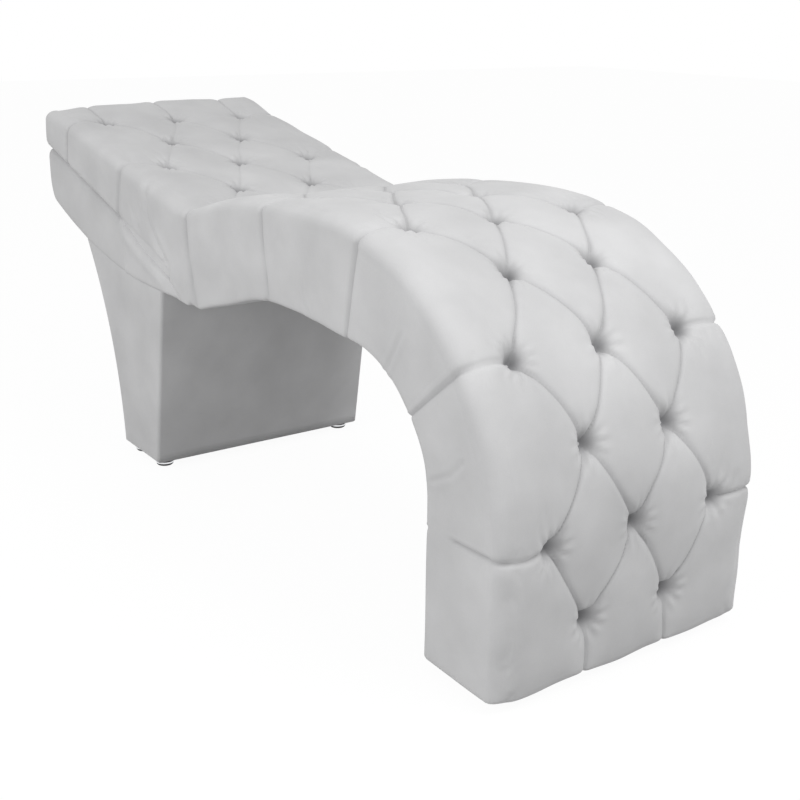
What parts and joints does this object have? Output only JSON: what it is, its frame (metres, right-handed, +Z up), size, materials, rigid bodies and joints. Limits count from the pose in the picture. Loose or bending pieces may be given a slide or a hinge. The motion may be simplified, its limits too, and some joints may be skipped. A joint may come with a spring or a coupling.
{
  "type": "beauty treatment bed",
  "caption": "Tufted velvet treatment bed: a wave-shaped padded body on a flared pedestal and a curved foot leg, with a hinged, tilting back above a fixed head panel, on levelling glides.",
  "frame": {"origin": "on the floor, below the middle of the bed's length and width", "axes": "+X along the bed to the foot, +Y across to the far side, +Z up"},
  "size_m": [1.8207, 0.56, 0.7879],
  "materials": {
    "velvet": "short silver-grey velvet pile",
    "plywood": "raw birch plywood and pine",
    "steel": "zinc-plated",
    "bumper_rubber": "matt",
    "glide_chrome": "bright chrome",
    "glide_plastic": "matt black"
  },
  "bodies": {
    "base": {"wave_pad": "velvet", "fold_foam": "velvet", "arch_lining": "velvet", "side_cover_near": "velvet", "side_cover_far": "velvet", "shelf_cover": "velvet", "pedestal_cover": "velvet", "fold_gusset_near": "velvet", "fold_gusset_far": "velvet", "wave_buttons": "velvet", "frame_rib_near_leg": "plywood", "frame_rib_near_seat": "plywood", "frame_rib_near_head": "plywood", "frame_rib_middle_leg": "plywood", "frame_rib_middle_seat": "plywood", "frame_rib_middle_head": "plywood", "frame_rib_far_leg": "plywood", "frame_rib_far_seat": "plywood", "frame_rib_far_head": "plywood", "cross_battens": "plywood", "deck_skin": "plywood", "arch_skin": "plywood", "shelf_board": "plywood", "pedestal_side_near": "plywood", "pedestal_side_far": "plywood", "pedestal_inner_panel": "plywood", "pedestal_outer_panel": "plywood", "pedestal_rails": "plywood", "pedestal_base_board": "plywood", "foot_base_board": "plywood", "hinge_base_leaf_near": "steel", "hinge_base_leaf_far": "steel", "hinge_pin_near": "steel", "hinge_pin_far": "steel", "hinge_base_screws": "steel", "frame_screws": "steel", "tee_nuts": "steel", "rest_bumpers": "bumper_rubber"},
    "backrest": {"backrest_board": "plywood", "backrest_pad": "velvet", "backrest_buttons": "velvet", "backrest_back_cover": "velvet", "hinge_moving_leaf_near": "steel", "hinge_moving_leaf_far": "steel", "hinge_leaf_screws": "steel", "pawl_pin_near": "steel", "pawl_pin_far": "steel"},
    "pawl_near": {"ratchet_pawl_near": "steel"},
    "pawl_far": {"ratchet_pawl_far": "steel"},
    "glide_1": {"glide_1_cup": "glide_chrome", "glide_1_sole": "glide_plastic"},
    "glide_2": {"glide_2_cup": "glide_chrome", "glide_2_sole": "glide_plastic"},
    "glide_3": {"glide_3_cup": "glide_chrome", "glide_3_sole": "glide_plastic"},
    "glide_4": {"glide_4_cup": "glide_chrome", "glide_4_sole": "glide_plastic"},
    "glide_5": {"glide_5_cup": "glide_chrome", "glide_5_sole": "glide_plastic"},
    "glide_6": {"glide_6_cup": "glide_chrome", "glide_6_sole": "glide_plastic"}
  },
  "joints": [
    {"name": "backrest_tilt", "type": "hinge", "parent": "base", "child": "backrest", "pos_m": [-0.19697, 0, 0.56195], "axis": [0, 1, 0], "range_deg": [0, 40], "deforming": ["fold_foam", "fold_gusset_near", "fold_gusset_far"]},
    {"name": "pawl_swing_near", "type": "hinge", "parent": "backrest", "child": "pawl_near", "pos_m": [-0.2372, 0, 0.59544], "axis": [0, 1, 0], "range_deg": [-9, 0]},
    {"name": "pawl_swing_far", "type": "hinge", "parent": "backrest", "child": "pawl_far", "pos_m": [-0.2372, 0, 0.59544], "axis": [0, 1, 0], "range_deg": [-9, 0]},
    {"name": "glide_1_level", "type": "slide", "parent": "base", "child": "glide_1", "axis": [0, 0, -1], "range_m": [0, 0.012]},
    {"name": "glide_2_level", "type": "slide", "parent": "base", "child": "glide_2", "axis": [0, 0, -1], "range_m": [0, 0.012]},
    {"name": "glide_3_level", "type": "slide", "parent": "base", "child": "glide_3", "axis": [0, 0, -1], "range_m": [0, 0.012]},
    {"name": "glide_4_level", "type": "slide", "parent": "base", "child": "glide_4", "axis": [0, 0, -1], "range_m": [0, 0.012]},
    {"name": "glide_5_level", "type": "slide", "parent": "base", "child": "glide_5", "axis": [0, 0, -1], "range_m": [0, 0.012]},
    {"name": "glide_6_level", "type": "slide", "parent": "base", "child": "glide_6", "axis": [0, 0, -1], "range_m": [0, 0.012]}
  ]
}
